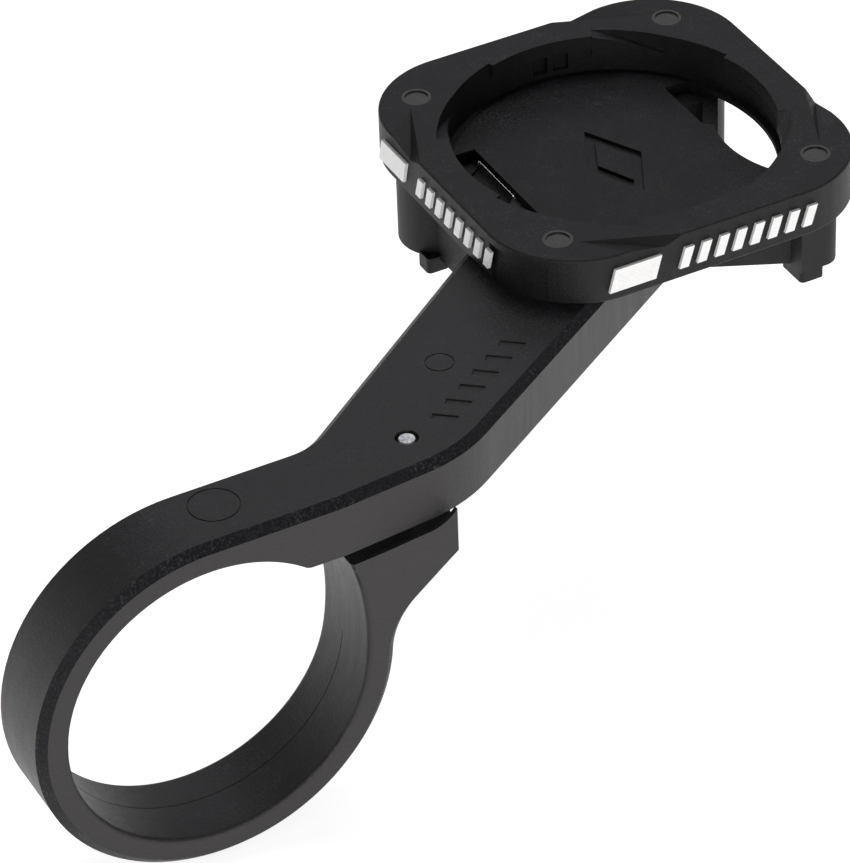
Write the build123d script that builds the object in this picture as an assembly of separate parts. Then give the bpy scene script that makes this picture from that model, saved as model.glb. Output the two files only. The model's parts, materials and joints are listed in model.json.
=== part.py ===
"""Out-front handlebar bracket with a quarter-turn cradle for a cycling computer.

Frame: origin in the middle of the handlebar clamp's bore, +X along the handlebar, +Y forward
from the handlebar to the cradle, +Z up. All lengths are in millimetres.
Profiles on the YZ plane are written as (y, z); plans on the XY plane are written as (x, y).
"""

import os
from math import atan2, cos, degrees, hypot, radians, sin, sqrt

from build123d import *

# Handlebar ring
BAR_R = 15.9
RING_WALL = 3.2
RING_R = BAR_R + RING_WALL
HALF_WIDTH = 4.86
EDGE_CHAMFER = 0.9
BORE_ROUND = 0.5
SMALL_ROUND = 0.25
SAME_PLACE = 0.01

# Arm: a straight stretch off the ring, then a diagonal to the cradle
ARM_TOP = RING_R
ARM_BOTTOM = 12.5
STRAIGHT_END_Y = 14.0
NEAR_BEND, NEAR_BEND_R = (3.6, 27.8), 17.0
FAR_BEND_Y, FAR_BEND_R = 15.1, 7.0
NEAR_EDGE_AIM, FAR_EDGE_AIM = (-18.25, 62.05), (-37.3, 59.3)
PLAN_START_Y = 6.0

# Clamp jaw and its lug
LUG_TOP = 11.0
LUG_MOUTH_Y = 14.6
LUG_FLARE_ANGLE = -10.0
LUG_TIP_Y = 26.15
LUG_TIP_FAR_Y = 28.4
LUG_TIP_LOW_Z = 9.0
LUG_TIP_ROUND = 1.6
LUG_SLOPE_TOP = (24.7, 6.1)
LUG_SLOPE_FOOT = (21.9, 3.85)
LUG_ROOT_ANGLE = -4.5
LIP_NEAR_X = 4.35
LIP_RISE = ((15.0, 11.03), (18.7, 11.3), (22.5, 11.7), (23.9, 11.9), (25.0, 12.4), (26.15, 13.4))
PARTING_X, PARTING_W, PARTING_DEPTH = -0.6, 0.1, 0.05
HINGE_GAP = 0.02

# Clamp screw, vertical through the lug into the arm
SCREW_X, SCREW_Y = -0.9, 23.9
SCREW_R = 1.5
SCREW_HEAD_R, SCREW_HEAD_H = 2.75, 3.0
HEX_FLATS, HEX_DEPTH = 2.5, 1.5
TIP_R, TIP_LENGTH, TIP_CHAMFER = 1.1, 2.8, 0.3
SCREW_LENGTH = 12.0
SEAT_Z = 7.6
SEAT_GAP = 0.1
SEAT_R = 3.5
WASHER_R, WASHER_BORE_R, WASHER_T = 3.0, 1.6, 0.5
LUG_HOLE_R = 1.95
INSERT_R, INSERT_BORE_R, INSERT_LENGTH = 2.1, 1.56, 4.0
INSERT_GROOVE = 0.25
SHANK_ROOM_R, SKIN_T, TIP_HOLE_R = 1.65, 1.1, 1.19

# Ejector marks moulded in the arm's top: (x, y, radius)
EJECTOR_MARKS = ((-0.8, 3.2, 2.6), (-10.1, 32.4, 1.5))
MARK_GROOVE, MARK_DEPTH = 0.14, 0.12

# Slanted bars pressed into the arm's top, in a row along its near edge
ARM_BARS, ARM_BAR_PITCH, ARM_BAR_L, ARM_BAR_W = 6, 2.7, 2.6, 0.9
ARM_BARS_START, ARM_BAR_LEAN, ARM_BAR_DEPTH = (-1.9, 28.6), 18.0, 0.15

# Cradle, written from its own centre at the top face
CRADLE_X, CRADLE_Y, CRADLE_TOP = -30.9, 64.0, 24.4
PLATE_HALF, PLATE_CORNER_R = 20.5, 10.0
PLATE_H = CRADLE_TOP - ARM_TOP
PIN_OFFSET, PIN_R, PIN_DEPTH = 14.97, 1.55, 3.0
PIN_DISH = 0.15
FLOOR_Z = -4.4
WALL_R = 17.6
LIP_R = 17.0
LIP_T = 1.6
ENTRY_R = 18.3
ENTRY_Z = -2.4
RAMP_INNER_R = 16.9
RAMP_DROP = 2.2
ENTRY_RUN_OUT, RAMP_ROOT = 0.05, 0.1
ENTRY_START, ENTRY_END, LIP_START = 158.0, 132.0, 108.0
MOAT_R, MOAT_DEPTH = 16.6, 0.35
SLOT_Y, SLOT_R, SLOT_SINK = 11.4, 16.9, 0.6
REAR_SLOT_ENDS = (-9.2, 5.4)
FRONT_SLOT_STEP, FRONT_SLOT_CURVE = ((-9.2, 11.3), (-1.3, 11.3)), ((-0.5, 12.2), (4.0, 11.5), (10.3, 13.5))
LOZENGE_OUTER, LOZENGE_INNER, LOZENGE_DEPTH = (6.3, 3.2), (4.1, 1.9), 0.4
POCKET_ANGLES = (176.5, 169.0)
POCKET_W, POCKET_H, POCKET_DEPTH, POCKET_SILL = 1.7, 1.9, 0.6, 0.4
SCOOP_APEX = (16.4, -13.5)
SCOOP_RISE = (20.5, -3.6)
SCOOP_VALLEY = (20.5, -5.9)
SCOOP_FALL = (20.2, -10.4)
SCOOP_DEPTH = 0.8
SCOOP_REACH = 1.2

# Hooks under the cradle for rubber rings, and their feet
HOOK_X, HOOK_Y, HOOK_R = 11.1, 14.8, 4.34
HOOK_BOTTOM = -14.9
ROUND_HOOKS = ((-1, -1), (-1, 1))
SQUARE_HOOK, SQUARE_HOOK_R = ((10.4, 13.9), (14.4, 18.9)), 2.2
FEET = ((-7.9, -17.2, 2.4, 2.6, 1.3), (-7.9, 17.2, 2.4, 2.6, 1.3), (12.4, 15.3, 4.0, 2.8, 1.3))
RIBS = (((-8.6, -16.6), (-2.9, -13.2)), ((-8.6, 16.6), (-2.9, 13.2)), ((11.6, 14.4), (7.3, 5.5)))
RIB_T = 1.6
REAR_BLOCK, REAR_BLOCK_TOP = ((-9.4, -17.0), (2.4, -17.0), (-2.1, -10.8), (-9.4, -10.8)), -6.2

# Step in the cradle's wall at its nearest corner
CORNER_STEP, CORNER_STEP_ANGLES, CORNER_STEP_TOP = 0.35, (-45.0, -88.0), -0.9

# Two bosses that sink into the arm's end, each held by a screw from below
BOSS_SPACING, BOSS_R, BOSS_DEPTH = 9.0, 2.8, 4.4
BOSS_FIT = 0.05
CRADLE_SCREW_R, CRADLE_SCREW_HEAD_R, CRADLE_SCREW_HEAD_H = 1.1, 2.2, 1.5
CRADLE_SCREW_DEPTH, CRADLE_SCREW_SINK = 3.6, 1.7
CROSS_W, CROSS_L, CROSS_DEPTH = 0.6, 2.4, 0.9

# Raised white decoration on two side faces: a lozenge and a row of slanted bars
BAR_COUNT = 8
BAR_W, BAR_PITCH, BAR_H, BAR_LEAN = 1.05, 2.05, 2.3, 0.7
BAR_START, LOZENGE_START, LOZENGE_L, LOZENGE_H = -4.4, -12.4, 6.0, 2.6
BAND_MIDDLE = -2.75
MARK_RAISE = 0.35

# How far cutters reach past a surface, and how far joined pieces run into each other
OVERSHOOT = 1.0
ROOT = 0.5


def polar(radius, angle):
    return (radius * cos(radians(angle)), radius * sin(radians(angle)))


def box_between(low, high):
    size = [b - a for a, b in zip(low, high)]
    centre = [(a + b) / 2 for a, b in zip(low, high)]
    return Pos(*centre) * Box(*size)


def tube_z(radius, z0, z1, x=0.0, y=0.0):
    return Pos(x, y, (z0 + z1) / 2) * Cylinder(radius, z1 - z0)


def prism_z(points, z0, z1):
    return Pos(0, 0, z0) * extrude(make_face(Polyline(*points, close=True)), z1 - z0)


def profile_x(wire, half):
    """A solid of a (y, z) outline, standing half each way along X."""
    return extrude(Plane.YZ * make_face(wire), half, both=True)


def sector(r_in, r_out, start, end, z0, z1):
    """A ring piece from the angle start, clockwise to end."""
    mid = (start + end) / 2
    outline = [
        Line(polar(r_in, start), polar(r_out, start)),
        ThreePointArc(polar(r_out, start), polar(r_out, mid), polar(r_out, end)),
        Line(polar(r_out, end), polar(r_in, end)),
        ThreePointArc(polar(r_in, end), polar(r_in, mid), polar(r_in, start)),
    ]
    return Pos(0, 0, z0) * extrude(make_face(outline), z1 - z0)


def unit(a, b):
    length = hypot(b[0] - a[0], b[1] - a[1])
    return ((b[0] - a[0]) / length, (b[1] - a[1]) / length)


# ---------------------------------------------------------------- arm


def arm_directions():
    """Unit directions of the diagonal's near edge, far edge and middle line."""
    near = unit(NEAR_BEND, NEAR_EDGE_AIM)
    far = unit((-HALF_WIDTH, FAR_BEND_Y), FAR_EDGE_AIM)
    middle = unit((0, 0), (near[0] + far[0], near[1] + far[1]))
    return near, far, middle


def foot_on_line(start, direction, point):
    """The point of a line nearest to another point."""
    along = (point[0] - start[0]) * direction[0] + (point[1] - start[1]) * direction[1]
    return (start[0] + along * direction[0], start[1] + along * direction[1])


def corners_at(outline, point):
    return [v for v in outline.vertices() if hypot(v.X - point[0], v.Y - point[1]) < SAME_PLACE]


def arm_plan():
    near, far, _ = arm_directions()
    centre = (CRADLE_X, CRADLE_Y)
    far_bend = (-HALF_WIDTH, FAR_BEND_Y)
    near_end = foot_on_line(NEAR_BEND, near, centre)
    far_end = foot_on_line(far_bend, far, centre)
    start = [(-HALF_WIDTH, PLAN_START_Y), (HALF_WIDTH, PLAN_START_Y), (HALF_WIDTH, STRAIGHT_END_Y)]
    outline = make_face(Polyline(*start, NEAR_BEND, near_end, far_end, far_bend, close=True))
    outline = fillet(corners_at(outline, NEAR_BEND), NEAR_BEND_R)
    outline = fillet(corners_at(outline, far_bend), FAR_BEND_R)
    middle = ((near_end[0] + far_end[0]) / 2, (near_end[1] + far_end[1]) / 2)
    radius = hypot(near_end[0] - far_end[0], near_end[1] - far_end[1]) / 2
    return outline + Pos(*middle) * Circle(radius)


def half_ring():
    """The ring's upper half, with the arm's root up to the straight end."""
    mouth_y = sqrt(BAR_R**2 - ARM_BOTTOM**2)
    outline = [
        Line((-BAR_R, 0), (-RING_R, 0)),
        ThreePointArc((-RING_R, 0), polar(RING_R, 135), (0, RING_R)),
        Line((0, RING_R), (PLAN_START_Y + OVERSHOOT, ARM_TOP)),
        Line((PLAN_START_Y + OVERSHOOT, ARM_TOP), (STRAIGHT_END_Y, ARM_TOP)),
        Line((STRAIGHT_END_Y, ARM_TOP), (STRAIGHT_END_Y, ARM_BOTTOM)),
        Line((STRAIGHT_END_Y, ARM_BOTTOM), (mouth_y, ARM_BOTTOM)),
        ThreePointArc((mouth_y, ARM_BOTTOM), (0, BAR_R), (-BAR_R, 0)),
    ]
    return profile_x(outline, HALF_WIDTH)


def boss_points():
    """Where the cradle's two bosses stand, in the row frame."""
    _, _, middle = arm_directions()
    return [
        (CRADLE_X + side * middle[0] * BOSS_SPACING / 2, CRADLE_Y + side * middle[1] * BOSS_SPACING / 2)
        for side in (-1, 1)
    ]


def outer_edges(shape):
    """Edges that run round the outside of the ring and the top of the arm."""
    picked = []
    for edge in shape.edges():
        mid = edge @ 0.5
        level = abs((edge @ 0).Z - (edge @ 1).Z) < SAME_PLACE
        on_top = abs(mid.Z - ARM_TOP) < SAME_PLACE and level
        on_end = abs(abs(mid.X) - HALF_WIDTH) < SAME_PLACE
        on_ring = abs(hypot(mid.Y, mid.Z) - RING_R) < SAME_PLACE and on_end
        across = abs(mid.X) < SAME_PLACE
        if (on_top or on_ring) and not across:
            picked.append(edge)
    return picked


def bracket_arm():
    root = half_ring()
    beam = Pos(0, 0, ARM_BOTTOM) * extrude(arm_plan(), ARM_TOP - ARM_BOTTOM)
    beam -= Rot(0, 90, 0) * Cylinder(BAR_R, 4 * HALF_WIDTH)
    body = root + beam
    body = chamfer(outer_edges(body), EDGE_CHAMFER)
    body = fillet(round_edges(body, BAR_R, BAR_R), BORE_ROUND)
    top_of_insert = ARM_BOTTOM + INSERT_LENGTH
    body -= tube_z(INSERT_R, ARM_BOTTOM - OVERSHOOT, top_of_insert, SCREW_X, SCREW_Y)
    body -= tube_z(SHANK_ROOM_R, ARM_BOTTOM, ARM_TOP - SKIN_T, SCREW_X, SCREW_Y)
    body -= tube_z(TIP_HOLE_R, ARM_BOTTOM, ARM_TOP + OVERSHOOT, SCREW_X, SCREW_Y)
    for x, y in boss_points():
        body -= tube_z(BOSS_R + BOSS_FIT, ARM_TOP - BOSS_DEPTH - BOSS_FIT, ARM_TOP + OVERSHOOT, x, y)
        body -= tube_z(CRADLE_SCREW_R + BOSS_FIT, ARM_BOTTOM - OVERSHOOT, ARM_TOP, x, y)
        sink_top = ARM_BOTTOM + CRADLE_SCREW_SINK
        body -= tube_z(CRADLE_SCREW_HEAD_R + 2 * BOSS_FIT, ARM_BOTTOM - OVERSHOOT, sink_top, x, y)
    for x, y, radius in EJECTOR_MARKS:
        ring = tube_z(radius, ARM_TOP - MARK_DEPTH, ARM_TOP + OVERSHOOT, x, y)
        ring -= tube_z(radius - MARK_GROOVE, ARM_TOP - OVERSHOOT, ARM_TOP + 2 * OVERSHOOT, x, y)
        body -= ring
    for bar in arm_bars():
        body -= bar
    return body


def arm_bars():
    near, _, _ = arm_directions()
    turn = degrees(atan2(near[1], near[0])) + ARM_BAR_LEAN
    bars = []
    for i in range(ARM_BARS):
        x = ARM_BARS_START[0] + near[0] * ARM_BAR_PITCH * i
        y = ARM_BARS_START[1] + near[1] * ARM_BAR_PITCH * i
        bars.append(Pos(x, y, ARM_TOP) * Rot(0, 0, turn) * Box(ARM_BAR_W, ARM_BAR_L, 2 * ARM_BAR_DEPTH))
    return bars


# ---------------------------------------------------------------- clamp


def jaw_outline():
    """The ring's lower half and its lug, whose bore side flares out to the gap."""
    mouth = (LUG_MOUTH_Y, LUG_TOP)
    root = polar(RING_R, LUG_ROOT_ANGLE)
    bore_end = polar(BAR_R, LUG_FLARE_ANGLE)
    mid_bore = (LUG_FLARE_ANGLE - 180) / 2
    mid_ring = (LUG_ROOT_ANGLE - 180) / 2
    slope = unit(LUG_SLOPE_FOOT, LUG_SLOPE_TOP)
    hinge_ring = (-sqrt(RING_R**2 - HINGE_GAP**2), -HINGE_GAP)
    hinge_bore = (-sqrt(BAR_R**2 - HINGE_GAP**2), -HINGE_GAP)
    return [
        ThreePointArc(hinge_ring, polar(RING_R, mid_ring), root),
        TangentArc(root, LUG_SLOPE_FOOT, tangent=polar(1, LUG_ROOT_ANGLE + 90)),
        Line(LUG_SLOPE_FOOT, LUG_SLOPE_TOP),
        TangentArc(LUG_SLOPE_TOP, (LUG_TIP_FAR_Y, LUG_TIP_LOW_Z), tangent=slope),
        Line((LUG_TIP_FAR_Y, LUG_TIP_LOW_Z), (LUG_TIP_FAR_Y, LUG_TOP)),
        Line((LUG_TIP_FAR_Y, LUG_TOP), mouth),
        TangentArc(bore_end, mouth, tangent=polar(1, LUG_FLARE_ANGLE + 90)),
        ThreePointArc(bore_end, polar(BAR_R, mid_bore), hinge_bore),
        Line(hinge_bore, hinge_ring),
    ]


def lug_end_cut():
    """Takes the lug's end off at a slant, short on the near side."""
    near, far = (HALF_WIDTH, LUG_TIP_Y), (-HALF_WIDTH, LUG_TIP_FAR_Y)
    along = unit(near, far)
    low = (near[0] - along[0] * OVERSHOOT, near[1] - along[1] * OVERSHOOT)
    high = (far[0] + along[0] * OVERSHOOT, far[1] + along[1] * OVERSHOOT)
    beyond = LUG_TIP_FAR_Y + 2 * OVERSHOOT
    return prism_z([low, high, (high[0], beyond), (low[0], beyond)], -RING_R, ARM_TOP)


def round_edges(shape, low, high):
    """Edges at both ends of the width whose middles lie between two radii from the bore's axis."""
    picked = []
    for edge in shape.edges():
        mid = edge @ 0.5
        in_reach = low - SAME_PLACE < hypot(mid.Y, mid.Z) < high + SAME_PLACE
        if in_reach and abs(abs(mid.X) - HALF_WIDTH) < SAME_PLACE:
            picked.append(edge)
    return picked


def tip_edges(shape):
    """The edges under the lug's slanted end."""
    picked = []
    for edge in shape.edges():
        mid = edge @ 0.5
        spans_width = abs((edge @ 0).X - (edge @ 1).X) > HALF_WIDTH
        if spans_width and mid.Y > LUG_TIP_Y and mid.Z < LUG_TIP_LOW_Z:
            picked.append(edge)
    return picked


def lug_lip():
    """A thin lip on the lug's near side that rises beside the arm."""
    start, end = LIP_RISE[0], LIP_RISE[-1]
    outline = [
        Spline(*LIP_RISE),
        Line(end, (end[0], start[1] - OVERSHOOT)),
        Line((end[0], start[1] - OVERSHOOT), (start[0], start[1] - OVERSHOOT)),
        Line((start[0], start[1] - OVERSHOOT), start),
    ]
    return Pos(LIP_NEAR_X, 0, 0) * extrude(Plane.YZ * make_face(outline), HALF_WIDTH - LIP_NEAR_X)


def clamp_jaw():
    body = profile_x(jaw_outline(), HALF_WIDTH)
    body = chamfer(round_edges(body, RING_R, RING_R), EDGE_CHAMFER)
    body = fillet(round_edges(body, BAR_R, BAR_R + OVERSHOOT), BORE_ROUND)
    body -= lug_end_cut()
    body = fillet(tip_edges(body), LUG_TIP_ROUND)
    body += lug_lip()
    parting = Pos(PARTING_X, 0, 0) * Rot(0, 90, 0) * Cylinder(BAR_R + PARTING_DEPTH, PARTING_W)
    body -= parting
    body -= tube_z(LUG_HOLE_R, 0, ARM_TOP, SCREW_X, SCREW_Y)
    body -= tube_z(SEAT_R, -RING_R, SEAT_Z, SCREW_X, SCREW_Y)
    return body


def thread_insert():
    low, high = ARM_BOTTOM, ARM_BOTTOM + INSERT_LENGTH
    middle = (low + high) / 2
    body = tube_z(INSERT_R, low, high, SCREW_X, SCREW_Y)
    groove = tube_z(INSERT_R + OVERSHOOT, middle - INSERT_GROOVE, middle + INSERT_GROOVE, SCREW_X, SCREW_Y)
    groove -= tube_z(INSERT_R - INSERT_GROOVE, low, high, SCREW_X, SCREW_Y)
    body -= groove
    return body - tube_z(INSERT_BORE_R, low - OVERSHOOT, high + OVERSHOOT, SCREW_X, SCREW_Y)


def clamp_washer():
    top = SEAT_Z - SEAT_GAP
    body = tube_z(WASHER_R, top - WASHER_T, top, SCREW_X, SCREW_Y)
    return body - tube_z(WASHER_BORE_R, 0, ARM_TOP, SCREW_X, SCREW_Y)


def clamp_screw():
    under_head = SEAT_Z - SEAT_GAP - WASHER_T
    tip = under_head + SCREW_LENGTH
    head = tube_z(SCREW_HEAD_R, under_head - SCREW_HEAD_H, under_head, SCREW_X, SCREW_Y)
    head = chamfer(head.edges().group_by(Axis.Z)[0], SMALL_ROUND)
    point = tube_z(TIP_R, tip - TIP_LENGTH, tip, SCREW_X, SCREW_Y)
    point = chamfer(point.edges().group_by(Axis.Z)[-1], TIP_CHAMFER)
    shank = tube_z(SCREW_R, under_head, tip - TIP_LENGTH, SCREW_X, SCREW_Y)
    hex_socket = extrude(RegularPolygon(HEX_FLATS / 2, 6, major_radius=False), HEX_DEPTH)
    return head + shank + point - Pos(SCREW_X, SCREW_Y, under_head - SCREW_HEAD_H) * hex_socket


# ---------------------------------------------------------------- cradle


def quarter_turns(shape):
    return [Rot(0, 0, 90 * i) * shape for i in range(4)]


def plate():
    outline = RectangleRounded(2 * PLATE_HALF, 2 * PLATE_HALF, PLATE_CORNER_R)
    body = Pos(0, 0, -PLATE_H) * extrude(outline, PLATE_H)
    return fillet(body.edges().group_by(Axis.Z)[-1] + body.edges().group_by(Axis.Z)[0], SMALL_ROUND)


def scoop():
    """The cut beside one corner: two facets that meet in a valley and run out to the side."""
    apex = Vector(*SCOOP_APEX, 0)

    def stretched(point, z):
        return apex + (Vector(*point, z) - apex) * SCOOP_REACH

    rise, valley, fall = stretched(SCOOP_RISE, 0), stretched(SCOOP_VALLEY, -SCOOP_DEPTH), stretched(SCOOP_FALL, 0)
    lift = Vector(0, 0, OVERSHOOT)
    faces = [
        Face(Wire.make_polygon([apex, rise, valley])),
        Face(Wire.make_polygon([apex, valley, fall])),
        Face(Wire.make_polygon([rise, valley, fall])),
        Face(Wire.make_polygon([apex, rise, rise + lift, apex + lift])),
        Face(Wire.make_polygon([apex, fall, fall + lift, apex + lift])),
        Face(Wire.make_polygon([rise, fall, fall + lift, rise + lift])),
        Face(Wire.make_polygon([apex + lift, rise + lift, fall + lift])),
    ]
    return Solid(Shell(faces))


def tapered_sector(inner, outer, z0, z1):
    """A piece of one entry between two radii at its start and two at its end: (start, end) each."""
    mid = (ENTRY_START + ENTRY_END) / 2
    outline = [
        Line(polar(inner[0], ENTRY_START), polar(outer[0], ENTRY_START)),
        ThreePointArc(
            polar(outer[0], ENTRY_START), polar((outer[0] + outer[1]) / 2, mid), polar(outer[1], ENTRY_END)
        ),
        Line(polar(outer[1], ENTRY_END), polar(inner[1], ENTRY_END)),
        ThreePointArc(
            polar(inner[1], ENTRY_END), polar((inner[0] + inner[1]) / 2, mid), polar(inner[0], ENTRY_START)
        ),
    ]
    return Pos(0, 0, z0) * extrude(make_face(outline), z1 - z0)


def entry_pocket():
    inner = (LIP_R - OVERSHOOT, LIP_R - OVERSHOOT)
    return tapered_sector(inner, (ENTRY_R, WALL_R + ENTRY_RUN_OUT), ENTRY_Z, OVERSHOOT)


def entry_ramp():
    """A ramp in one entry: level with the top at its start, low and thin at its end."""
    outer = (ENTRY_R + RAMP_ROOT, WALL_R + ENTRY_RUN_OUT + RAMP_ROOT)
    block = tapered_sector((RAMP_INNER_R, WALL_R - RAMP_ROOT), outer, ENTRY_Z, 0)
    run = 2 * ENTRY_R * sin(radians((ENTRY_START - ENTRY_END) / 2))
    tilt = degrees(atan2(RAMP_DROP, run))
    cutter = Pos(0, 0, PLATE_HALF / 2) * Box(2 * PLATE_HALF, 4 * PLATE_HALF, PLATE_HALF)
    pivot = Pos(*polar(ENTRY_R, ENTRY_START), 0) * Rot(0, 0, (ENTRY_START + ENTRY_END) / 2)
    return block - pivot * Rot(tilt, 0, 0) * cutter


def floor_slots():
    """Two openings in the floor beside the straight walls: a plain one at the rear, a curved one in front."""
    low, height = -PLATE_H - SLOT_SINK, PLATE_H + SLOT_SINK + FLOOR_Z + OVERSHOOT
    left, right = REAR_SLOT_ENDS
    rear = [(left, -SLOT_Y), (right, -SLOT_Y), (right, -WALL_R), (left, -WALL_R)]
    start, step = FRONT_SLOT_STEP
    front = make_face([
        Line(start, step),
        Line(step, FRONT_SLOT_CURVE[0]),
        ThreePointArc(*FRONT_SLOT_CURVE),
        Line(FRONT_SLOT_CURVE[2], (FRONT_SLOT_CURVE[2][0], WALL_R)),
        Line((FRONT_SLOT_CURVE[2][0], WALL_R), (start[0], WALL_R)),
        Line((start[0], WALL_R), start),
    ])
    round_floor = tube_z(SLOT_R, HOOK_BOTTOM, OVERSHOOT)
    return [prism_z(rear, low, low + height) & round_floor, Pos(0, 0, low) * extrude(front, height) & round_floor]


def hook(side_x, side_y):
    body = tube_z(HOOK_R, HOOK_BOTTOM, -PLATE_H + ROOT, side_x * HOOK_X, side_y * HOOK_Y)
    return fillet(body.edges().group_by(Axis.Z)[0], SMALL_ROUND)


def square_hook():
    """The hook in front on the near side: a small block with rounded outer corners."""
    (x0, y0), (x1, y1) = SQUARE_HOOK
    body = box_between((x0, y0, HOOK_BOTTOM), (x1, y1, -PLATE_H + ROOT))
    corners = [e for e in body.edges().filter_by(Axis.Z) if (e @ 0.5).Y > y1 - SMALL_ROUND]
    return fillet(corners, SQUARE_HOOK_R - SMALL_ROUND)


def foot(x, y, size_x, size_y, height):
    low = (x - size_x / 2, y - size_y / 2, HOOK_BOTTOM - height)
    high = (x + size_x / 2, y + size_y / 2, HOOK_BOTTOM + ROOT)
    body = box_between(low, high)
    return fillet(body.edges().filter_by(Axis.Z), 2 * SMALL_ROUND)


def rib(start, end):
    length = hypot(end[0] - start[0], end[1] - start[1])
    angle = degrees(atan2(end[1] - start[1], end[0] - start[0]))
    height = -HOOK_BOTTOM - PLATE_H + ROOT
    centre_z = HOOK_BOTTOM + height / 2
    middle = Pos((start[0] + end[0]) / 2, (start[1] + end[1]) / 2, centre_z)
    return middle * Rot(0, 0, angle) * Box(length, RIB_T, height)


def floor_lozenge():
    """A plain lozenge outline sunk in the floor."""

    def rhombus(half, low):
        return prism_z([(half[0], 0), (0, half[1]), (-half[0], 0), (0, -half[1])], low, FLOOR_Z + OVERSHOOT)

    return rhombus(LOZENGE_OUTER, FLOOR_Z - LOZENGE_DEPTH) - rhombus(LOZENGE_INNER, FLOOR_Z - OVERSHOOT)


def wall_pocket(angle):
    low = FLOOR_Z + POCKET_SILL
    block = box_between((0, -POCKET_W / 2, low), (WALL_R + POCKET_DEPTH, POCKET_W / 2, low + POCKET_H))
    return Rot(0, 0, angle) * block


def to_cradle(shape):
    return Pos(CRADLE_X, CRADLE_Y, CRADLE_TOP) * shape


def cradle_bosses():
    """The two bosses under the floor, each with its pilot hole."""
    bosses = []
    for x, y in boss_points():
        low = -PLATE_H - BOSS_DEPTH
        boss = tube_z(BOSS_R, low, -PLATE_H + ROOT, x - CRADLE_X, y - CRADLE_Y)
        pilot = tube_z(CRADLE_SCREW_R, low - OVERSHOOT, low + CRADLE_SCREW_DEPTH, x - CRADLE_X, y - CRADLE_Y)
        bosses.append((boss, pilot))
    return bosses


def corner_step():
    """A shallow step in the wall, from the nearest corner's middle to the straight side."""
    middle = PLATE_HALF - PLATE_CORNER_R
    start, end = CORNER_STEP_ANGLES
    skin = sector(PLATE_CORNER_R - CORNER_STEP, PLATE_CORNER_R + OVERSHOOT, start, end, -PLATE_H, CORNER_STEP_TOP)
    return Pos(middle, -middle, 0) * skin


def moat():
    """The shallow groove round the floor."""
    return tube_z(WALL_R, FLOOR_Z - MOAT_DEPTH, FLOOR_Z + MOAT_DEPTH) - tube_z(MOAT_R, -PLATE_H, 0)


def computer_cradle():
    body = plate() - corner_step()
    for side_x, side_y in ROUND_HOOKS:
        body += hook(side_x, side_y)
    body += square_hook()
    for sizes in FEET:
        body += foot(*sizes)
    for ends in RIBS:
        body += rib(*ends)
    body += prism_z(REAR_BLOCK, HOOK_BOTTOM, REAR_BLOCK_TOP)
    body -= tube_z(LIP_R, FLOOR_Z, OVERSHOOT)
    body -= tube_z(WALL_R, FLOOR_Z, -LIP_T)
    body -= moat()
    for entry in quarter_turns(entry_pocket()):
        body -= entry
    gap = sector(LIP_R - OVERSHOOT, WALL_R, ENTRY_END, LIP_START, -LIP_T - RAMP_ROOT, OVERSHOOT)
    for relief in quarter_turns(gap):
        body -= relief
    for ramp in quarter_turns(entry_ramp()):
        body += ramp
    for slot in floor_slots():
        body -= slot
    for cut in quarter_turns(scoop()):
        body -= cut
    for angle in POCKET_ANGLES:
        body -= wall_pocket(angle)
    body -= floor_lozenge()
    for corner in pin_positions():
        body -= tube_z(PIN_R, -PIN_DEPTH, OVERSHOOT, *corner)
    for boss, pilot in cradle_bosses():
        body += boss
        body -= pilot
    return to_cradle(body)


def pin_positions():
    return [(sx * PIN_OFFSET, sy * PIN_OFFSET) for sx in (-1, 1) for sy in (-1, 1)]


def cradle_pins():
    pins = []
    for x, y in pin_positions():
        pin = tube_z(PIN_R, -PIN_DEPTH, 0, x, y)
        pin -= tube_z(PIN_R - 2 * PIN_DISH, -PIN_DISH, OVERSHOOT, x, y)
        pins.append(to_cradle(pin))
    return Compound(pins)


def cradle_screws():
    screws = []
    for x, y in boss_points():
        under_head = ARM_BOTTOM + CRADLE_SCREW_SINK
        end = ARM_TOP - BOSS_DEPTH + CRADLE_SCREW_DEPTH
        head = tube_z(CRADLE_SCREW_HEAD_R, under_head - CRADLE_SCREW_HEAD_H, under_head, x, y)
        head = fillet(head.edges().group_by(Axis.Z)[0], SMALL_ROUND)
        screw = head + tube_z(CRADLE_SCREW_R, under_head, end, x, y)
        for turn in (0, 90):
            slot = Rot(0, 0, turn) * Box(CROSS_L, CROSS_W, 2 * CROSS_DEPTH)
            screw -= Pos(x, y, under_head - CRADLE_SCREW_HEAD_H) * slot
        screws.append(screw)
    return Compound(screws)


def decoration():
    """The raised marks of one side, drawn on the XZ plane and pushed out of the face y = -PLATE_HALF."""
    half = LOZENGE_H / 2
    lozenge_end = LOZENGE_START + LOZENGE_L
    shapes = [
        [
            (LOZENGE_START, -half), (lozenge_end - BAR_LEAN, -half),
            (lozenge_end, half), (LOZENGE_START + BAR_LEAN, half),
        ]
    ]
    for i in range(BAR_COUNT):
        left = BAR_START + i * BAR_PITCH
        half = BAR_H / 2
        shapes.append([(left, -half), (left + BAR_W, -half), (left + BAR_W + BAR_LEAN, half), (left + BAR_LEAN, half)])
    solids = []
    for points in shapes:
        face = Plane.XZ * make_face(Polyline(*points, close=True))
        raised = extrude(face, MARK_RAISE)
        solids.append(Pos(0, -PLATE_HALF, BAND_MIDDLE) * raised)
    return solids


def side_marks():
    front = decoration()
    right = [Rot(0, 0, 90) * shape for shape in decoration()]
    return Compound([to_cradle(shape) for shape in front + right])


PARTS = {
    "bracket_arm": bracket_arm,
    "clamp_jaw": clamp_jaw,
    "thread_insert": thread_insert,
    "clamp_washer": clamp_washer,
    "clamp_screw": clamp_screw,
    "computer_cradle": computer_cradle,
    "cradle_pins": cradle_pins,
    "cradle_screws": cradle_screws,
    "side_marks": side_marks,
}

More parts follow.
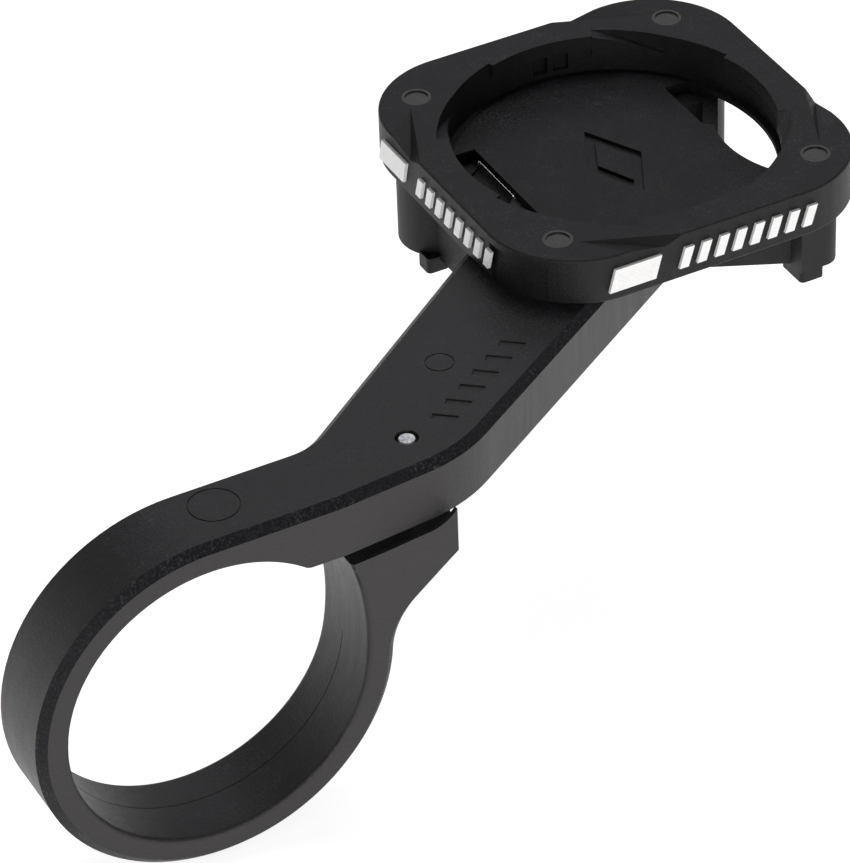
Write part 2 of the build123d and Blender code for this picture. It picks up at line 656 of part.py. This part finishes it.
os.makedirs("parts", exist_ok=True)
for name, make in PARTS.items():
    export_step(make(), f"parts/{name}.step")
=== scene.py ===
import json
import math

import bmesh
import bpy
from mathutils import Matrix, Vector


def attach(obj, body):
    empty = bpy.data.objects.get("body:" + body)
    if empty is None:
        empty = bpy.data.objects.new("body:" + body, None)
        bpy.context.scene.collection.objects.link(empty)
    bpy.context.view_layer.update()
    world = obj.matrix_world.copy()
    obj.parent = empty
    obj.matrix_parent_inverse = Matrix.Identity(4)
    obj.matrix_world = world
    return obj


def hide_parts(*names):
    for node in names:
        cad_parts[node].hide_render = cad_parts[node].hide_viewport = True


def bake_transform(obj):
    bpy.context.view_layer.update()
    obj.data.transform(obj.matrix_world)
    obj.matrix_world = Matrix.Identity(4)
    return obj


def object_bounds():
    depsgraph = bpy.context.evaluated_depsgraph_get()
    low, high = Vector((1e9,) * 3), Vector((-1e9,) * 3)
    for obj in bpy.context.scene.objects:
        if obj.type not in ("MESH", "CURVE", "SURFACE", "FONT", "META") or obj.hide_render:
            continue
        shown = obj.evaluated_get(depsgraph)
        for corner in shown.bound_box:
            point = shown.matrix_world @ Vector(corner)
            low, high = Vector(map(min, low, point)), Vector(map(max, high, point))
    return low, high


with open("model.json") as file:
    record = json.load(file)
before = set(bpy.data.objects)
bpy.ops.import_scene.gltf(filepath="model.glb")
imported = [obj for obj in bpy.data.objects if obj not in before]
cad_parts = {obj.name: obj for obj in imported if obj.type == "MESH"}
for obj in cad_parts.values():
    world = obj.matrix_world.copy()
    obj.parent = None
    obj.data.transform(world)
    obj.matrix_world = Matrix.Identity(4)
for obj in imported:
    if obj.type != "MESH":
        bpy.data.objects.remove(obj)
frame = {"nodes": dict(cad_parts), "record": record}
CAD_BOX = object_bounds()
NODES = frame["nodes"]
RECORD = frame["record"]
MM = 0.001

# The photograph's camera: where it looks from, how it leans, its lens, and where it stands
CAMERA_AZIMUTH, CAMERA_ELEVATION, CAMERA_ROLL = 63.27, 36.89, -2.23
CAMERA_LENS, CAMERA_SENSOR = 211.05, 36.0
CAMERA_DISTANCE = 0.4879
CAMERA_RIGHT, CAMERA_UP = 0.02181, 0.02358
CAMERA_NEAR, CAMERA_FAR = 0.01, 50

# The studio: a pale floor that glows a little, and what the lights aim at
WHITE, WARM_WHITE, COOL_WHITE = (1, 1, 1), (1.0, 0.97, 0.95), (0.93, 0.95, 1.0)
FLOOR_SIZE, FLOOR_DROP = 6.0, 0.02 * MM
FLOOR_COLOUR, FLOOR_ROUGHNESS, FLOOR_GLOW = (0.85, 0.85, 0.85), 0.9, 0.75
WORLD_STRENGTH = 0.2
PART_MIDDLE = (-0.015, 0.035, 0.0)

# The ring's rear seam: the hinge line's place, and how far past it the seam's vertices are taken
HINGE_Y, BEND_SPREAD = -17.5 * MM, 3.0 * MM
SEAM_GAP = 0.05 * MM

# Small rounds on the edges that turn by more than a sharp edge's angle
EDGE_ROUND, FINE_EDGE_ROUND = 0.13 * MM, 0.05 * MM
EDGE_ROUND_SEGMENTS = 2
SHARP_EDGE = math.radians(28)

# The mask of the mouldings' outer chamfers, which are painted darker as painted shade: their distance from the
# bar's axis, and how far their faces look sideways
CHAMFER_FROM, CHAMFER_FADE = 17.2 * MM, 0.3 * MM
CHAMFER_LEAN_STARTS, CHAMFER_LEAN_ENDS = (0.5, 0.56), (0.74, 0.79)

# The colour sockets of Blender's Mix node
MIX_FACTOR, MIX_A, MIX_B, MIX_RESULT = 0, 6, 7, 2


# ---------------------------------------------------------------- node helpers


class Shader:
    """A material being built: makes nodes and joins them."""

    def __init__(self, name):
        self.material = bpy.data.materials.new(name)
        self.material.use_nodes = True
        self.tree = self.material.node_tree
        self.bsdf = self.tree.nodes["Principled BSDF"]
        self.coords_node = self.add("ShaderNodeTexCoord")
        self.coords = self.coords_node.outputs["Object"]

    def add(self, kind, **settings):
        node = self.tree.nodes.new(kind)
        for key, value in settings.items():
            setattr(node, key, value)
        return node

    def link(self, output, target):
        self.tree.links.new(output, target)

    def feed(self, target, value):
        """A number is set on the socket, and anything else is joined to it."""
        if isinstance(value, (int, float)):
            target.default_value = value
        else:
            self.link(value, target)

    def feed_colour(self, target, value):
        if isinstance(value, tuple):
            target.default_value = (*value, 1)
        else:
            self.link(value, target)

    def stretched(self, scale):
        mapping = self.add("ShaderNodeMapping")
        mapping.inputs["Scale"].default_value = scale
        self.link(self.coords, mapping.inputs["Vector"])
        return mapping.outputs["Vector"]

    def noise(self, size_mm, detail=3.0, rough=0.55, stretch=(1, 1, 1)):
        """Noise with features of about size_mm, longer along the axes with a small stretch."""
        node = self.add("ShaderNodeTexNoise")
        node.inputs["Scale"].default_value = 1 / (size_mm * MM)
        node.inputs["Detail"].default_value = detail
        node.inputs["Roughness"].default_value = rough
        self.link(self.stretched(stretch), node.inputs["Vector"])
        return node.outputs["Fac"]

    def ranged(self, value, low, high, to_low, to_high):
        node = self.add("ShaderNodeMapRange")
        self.link(value, node.inputs["Value"])
        for key, number in zip(("From Min", "From Max", "To Min", "To Max"), (low, high, to_low, to_high)):
            node.inputs[key].default_value = number
        return node.outputs["Result"]

    def math(self, operation, a, b):
        node = self.add("ShaderNodeMath", operation=operation)
        self.feed(node.inputs[0], a)
        self.feed(node.inputs[1], b)
        return node.outputs[0]

    def split(self, vector):
        node = self.add("ShaderNodeSeparateXYZ")
        self.link(vector, node.inputs[0])
        return node.outputs

    def face_direction(self):
        return self.split(self.coords_node.outputs["Normal"])

    def facing_up(self, low=0.8, high=0.95):
        """1 on faces that look up, 0 on walls."""
        return self.ranged(self.face_direction()["Z"], low, high, 0.0, 1.0)

    def on_chamfer(self):
        """1 on the slanted strip along the moulding's outer edges, where shade is painted."""
        lean = self.math("ABSOLUTE", self.face_direction()["X"], 0.0)
        from_wall = self.ranged(lean, *CHAMFER_LEAN_STARTS, 0.0, 1.0)
        to_side = self.ranged(lean, *CHAMFER_LEAN_ENDS, 1.0, 0.0)
        place = self.split(self.coords)
        squares = [self.math("POWER", self.math("ABSOLUTE", place[axis], 0.0), 2.0) for axis in ("Y", "Z")]
        radius = self.math("SQRT", self.math("ADD", *squares), 0.0)
        outside = self.ranged(radius, CHAMFER_FROM, CHAMFER_FROM + CHAMFER_FADE, 0.0, 1.0)
        return self.math("MULTIPLY", self.math("MULTIPLY", from_wall, to_side), outside)

    def mixed_colour(self, factor, a, b):
        node = self.add("ShaderNodeMix", data_type="RGBA")
        self.feed(node.inputs[MIX_FACTOR], factor)
        self.feed_colour(node.inputs[MIX_A], a)
        self.feed_colour(node.inputs[MIX_B], b)
        return node.outputs[MIX_RESULT]

    def bump(self, height, depth_mm, strength=1.0, below=None):
        node = self.add("ShaderNodeBump")
        node.inputs["Strength"].default_value = strength
        node.inputs["Distance"].default_value = depth_mm * MM
        self.link(height, node.inputs["Height"])
        if below is not None:
            self.link(below, node.inputs["Normal"])
        return node.outputs["Normal"]

    def finish(self, colour, roughness, normal, metallic=0.0, specular=0.5):
        inputs = self.bsdf.inputs
        self.feed_colour(inputs["Base Color"], colour)
        self.feed(inputs["Roughness"], roughness)
        self.feed(inputs["Metallic"], metallic)
        self.feed(inputs["Specular IOR Level"], specular)
        self.link(normal, inputs["Normal"])
        return self.material


def scaled(colour, times, plus=0.0):
    return tuple(channel * times + plus for channel in colour)


# ---------------------------------------------------------------- materials


def drawn_colour(s, streaks, colour):
    """Walls: faint streaks along the way that the mould opens, laid on a wall colour that holds painted light.
    """
    return s.mixed_colour(s.ranged(streaks, 0.35, 0.7, 0.0, 1.0), colour, scaled(colour, 1.3))


def scuffed_colour(s, grain, colour, scuffing):
    """Tops: cloudy and grained, with patches of pale specks where they have been rubbed."""
    cloud = s.noise(9.0, 4.0)
    scuffs = s.noise(3.2, 8.0, 0.75, (1, 0.6, 1))
    cloudy = s.mixed_colour(s.ranged(cloud, 0.3, 0.7, 0.0, 1.0), colour, scaled(colour, 1.4))
    grained = s.mixed_colour(s.ranged(grain, 0.44, 0.62, 0.0, 1.0), cloudy, scaled(colour, 3.0, 0.004))
    in_patch = s.math("MULTIPLY", s.ranged(scuffs, 0.46, 0.62, 0.0, 1.0), scuffing)
    specks = s.math("MULTIPLY", s.ranged(grain, 0.54, 0.66, 0.0, 1.0), in_patch)
    return s.mixed_colour(specks, grained, (0.09, 0.09, 0.1))


def moulded_plastic(name, wall_colour_with_painted_light, top_colour, grain_mm, wall_rough, top_rough, scuffing, shine, chamfered):
    """Black moulded plastic: drawn smooth on its walls, grained and scuffed on its tops and chamfers. The walls
    take a colour with painted light, lighter or darker than the tops', and the chamfers are painted darker with
    a weaker reflection, as painted shade.
    """
    s = Shader(name)
    grain = s.noise(grain_mm, 6.0, 0.7)
    streaks = s.noise(1.1, 4.0, 0.6, (1, 1, 0.06))
    rough_faces, specular = s.facing_up(), shine
    if chamfered:
        # Painted shade: the chamfer strip takes the tops' colour, darker than the walls', and a weaker
        # reflection.
        chamfer = s.on_chamfer()
        rough_faces = s.math("MAXIMUM", rough_faces, chamfer)
        specular = s.ranged(chamfer, 0.0, 1.0, shine, 0.3 * shine)
    wall_with_painted_light, top = drawn_colour(s, streaks, wall_colour_with_painted_light), scuffed_colour(s, grain, top_colour, scuffing)
    wall_gloss = s.ranged(streaks, 0.3, 0.7, wall_rough - 0.05, wall_rough + 0.05)
    top_gloss = s.ranged(grain, 0.3, 0.7, top_rough - 0.12, top_rough + 0.1)
    gap = s.math("SUBTRACT", top_gloss, wall_gloss)
    roughness = s.math("ADD", wall_gloss, s.math("MULTIPLY", gap, rough_faces))
    pits = s.bump(grain, 0.12, 0.8)
    normal = s.bump(streaks, 0.02, 0.4, pits)
    # Painted light and shade: walls take the wall colour, tops and chamfers the top colour.
    return s.finish(s.mixed_colour(rough_faces, wall_with_painted_light, top), roughness, normal, specular=specular)


def bracket_plastic():
    # Painted light: the walls' colour is lighter and warmer than the tops', standing for the light falling on
    # the walls.
    return moulded_plastic(
        "bracket_plastic", wall_colour_with_painted_light=(0.013, 0.0105, 0.0112), top_colour=(0.0045, 0.0045, 0.006),
        grain_mm=0.28, wall_rough=0.42, top_rough=0.45, scuffing=0.7, shine=0.45, chamfered=True,
    )


def cradle_plastic():
    # Painted shade: the walls' colour is a little darker than the tops', standing for the shade on the walls.
    return moulded_plastic(
        "cradle_plastic", wall_colour_with_painted_light=(0.004, 0.0036, 0.0038), top_colour=(0.0045, 0.0045, 0.006),
        grain_mm=0.24, wall_rough=0.5, top_rough=0.45, scuffing=1.0, shine=0.3, chamfered=False,
    )


def polished_plastic(name, colour):
    s = Shader(name)
    wear = s.noise(0.5, 5.0, 0.6)
    tint = s.mixed_colour(s.ranged(wear, 0.35, 0.7, 0.0, 1.0), colour, scaled(colour, 2.2))
    return s.finish(tint, s.ranged(wear, 0.3, 0.7, 0.22, 0.45), s.bump(wear, 0.04, 0.6))


def white_paint(name):
    s = Shader(name)
    mottle = s.noise(0.35, 4.0)
    colour = s.mixed_colour(s.ranged(mottle, 0.4, 0.75, 0.0, 1.0), (0.84, 0.84, 0.84), (0.76, 0.76, 0.755))
    return s.finish(colour, s.ranged(mottle, 0.3, 0.7, 0.4, 0.55), s.bump(mottle, 0.01, 0.3))


def turned_metal(name, colour, roughness):
    s = Shader(name)
    rings = s.noise(0.25, 2.0, 0.5, (0.1, 0.1, 1))
    wear = s.noise(0.45, 5.0, 0.65)
    tint = s.mixed_colour(s.ranged(wear, 0.4, 0.62, 0.0, 1.0), colour, scaled(colour, 0.45))
    gloss = s.ranged(wear, 0.3, 0.7, roughness - 0.08, roughness + 0.1)
    dents = s.bump(wear, 0.05, 0.7)
    return s.finish(tint, gloss, s.bump(rings, 0.006, 0.3, dents), metallic=1.0)


def make_materials():
    return {
        "bracket_plastic": bracket_plastic(),
        "cradle_plastic": cradle_plastic(),
        "pin_plastic": polished_plastic("pin_plastic", (0.014, 0.012, 0.01)),
        "white_print": white_paint("white_print"),
        "hardware_steel": turned_metal("hardware_steel", (0.6, 0.6, 0.61), 0.3),
        "small_screw_steel": turned_metal("small_screw_steel", (0.1, 0.1, 0.11), 0.38),
        "insert_brass": turned_metal("insert_brass", (0.7, 0.5, 0.25), 0.3),
    }


def paint_nodes(materials):
    for part in RECORD["subparts"]:
        for slot in NODES[part["node"]].material_slots:
            slot.material = materials[part["material_slot"]]


# ---------------------------------------------------------------- pieces


def soften_edges(piece, width):
    """A small round on every sharp edge, as moulded plastic has."""
    edge = piece.modifiers.new("edge_round", "BEVEL")
    edge.width = width
    edge.segments = EDGE_ROUND_SEGMENTS
    edge.limit_method = "ANGLE"
    edge.angle_limit = SHARP_EDGE
    edge.harden_normals = True


def soften_nodes():
    soften_edges(NODES["computer_cradle"], EDGE_ROUND)
    for small in ("cradle_pins", "clamp_screw", "side_marks"):
        soften_edges(NODES[small], FINE_EDGE_ROUND)


def final_mesh(piece):
    """Makes the piece's modifiers part of its mesh."""
    evaluated = piece.evaluated_get(bpy.context.evaluated_depsgraph_get())
    mesh = bpy.data.meshes.new_from_object(evaluated)
    piece.modifiers.clear()
    piece.data = mesh


def open_seam(piece):
    """Takes away the hidden end face at the ring's rear, and sets its rim at the hinge line's height."""
    mesh = bmesh.new()
    mesh.from_mesh(piece.data)
    at_seam = [v for v in mesh.verts if abs(v.co.z) < SEAM_GAP and v.co.y < HINGE_Y + BEND_SPREAD]
    for vertex in at_seam:
        vertex.co.z = 0.0
    ends = [f for f in mesh.faces if all(v in at_seam for v in f.verts)]
    bmesh.ops.delete(mesh, geom=ends, context="FACES")
    mesh.to_mesh(piece.data)
    mesh.free()


def half_moulding(node, name):
    """One half of the one-piece moulding, made from the CAD half."""
    piece = bpy.data.objects.new(name, NODES[node].data.copy())
    bpy.context.scene.collection.objects.link(piece)
    open_seam(piece)
    soften_edges(piece, EDGE_ROUND)
    bpy.context.view_layer.update()
    final_mesh(piece)
    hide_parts(node)
    return piece


def make_moulding():
    """The ring and arm show as one moulding, split into two halves at the ring's rear."""
    upper = half_moulding("bracket_arm", "arm_and_ring_top")
    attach(upper, "bracket")
    lower = half_moulding("clamp_jaw", "ring_bottom_and_lug")
    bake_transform(lower)


# ---------------------------------------------------------------- stage


def make_floor():
    place = (0, 0, CAD_BOX[0].z - FLOOR_DROP)
    bpy.ops.mesh.primitive_plane_add(size=FLOOR_SIZE, location=place)
    floor = bpy.context.object
    floor.name = "floor"
    material = bpy.data.materials.new("floor")
    material.use_nodes = True
    inputs = material.node_tree.nodes["Principled BSDF"].inputs
    inputs["Base Color"].default_value = (*FLOOR_COLOUR, 1)
    inputs["Roughness"].default_value = FLOOR_ROUGHNESS
    inputs["Emission Color"].default_value = (*WHITE, 1)
    inputs["Emission Strength"].default_value = FLOOR_GLOW
    floor.data.materials.append(material)


def make_world():
    world = bpy.data.worlds.new("studio")
    bpy.context.scene.world = world
    world.use_nodes = True
    inputs = world.node_tree.nodes["Background"].inputs
    inputs["Color"].default_value = (*WHITE, 1)
    inputs["Strength"].default_value = WORLD_STRENGTH


def make_light(name, place, size, power, colour=WHITE):
    """A soft panel of light that looks at the part."""
    data = bpy.data.lights.new(name, "AREA")
    data.shape = "RECTANGLE"
    data.size, data.size_y = size
    data.energy = power
    data.color = colour
    light = bpy.data.objects.new(name, data)
    light.location = place
    light.rotation_euler = (Vector(PART_MIDDLE) - Vector(place)).to_track_quat("-Z", "Y").to_euler()
    bpy.context.scene.collection.objects.link(light)


def make_lights():
    make_light("key", (0.95, -0.55, 0.25), (0.5, 0.35), 5.5, WARM_WHITE)
    make_light("edge", (0.92, 0.4, 0.14), (0.7, 0.16), 1.6)
    make_light("overhead", (-0.3, 0.3, 0.95), (0.45, 0.45), 2.0)
    make_light("back", (-0.75, 0.4, 0.62), (0.75, 0.5), 0.9, COOL_WHITE)


def camera_axes():
    """The camera's right, up and backward directions."""
    azimuth, elevation = math.radians(CAMERA_AZIMUTH), math.radians(CAMERA_ELEVATION)
    level, rise = math.cos(elevation), math.sin(elevation)
    back = Vector((math.sin(azimuth) * level, -math.cos(azimuth) * level, rise))
    lean = Matrix.Rotation(math.radians(CAMERA_ROLL), 3, back)
    right = lean @ Vector((math.cos(azimuth), math.sin(azimuth), 0))
    return right, back.cross(right), back


def make_camera():
    right, up, back = camera_axes()
    data = bpy.data.cameras.new("camera")
    data.lens, data.sensor_width = CAMERA_LENS, CAMERA_SENSOR
    data.clip_start, data.clip_end = CAMERA_NEAR, CAMERA_FAR
    camera = bpy.data.objects.new("camera", data)
    turn = Matrix((right, up, back)).transposed()
    place = back * CAMERA_DISTANCE + right * CAMERA_RIGHT + up * CAMERA_UP
    camera.matrix_world = Matrix.Translation(place) @ turn.to_4x4()
    bpy.context.scene.collection.objects.link(camera)
    bpy.context.scene.camera = camera


bpy.context.scene.view_settings.view_transform = "Standard"
paint_nodes(make_materials())
soften_nodes()
make_moulding()
make_floor()
make_world()
make_lights()
make_camera()
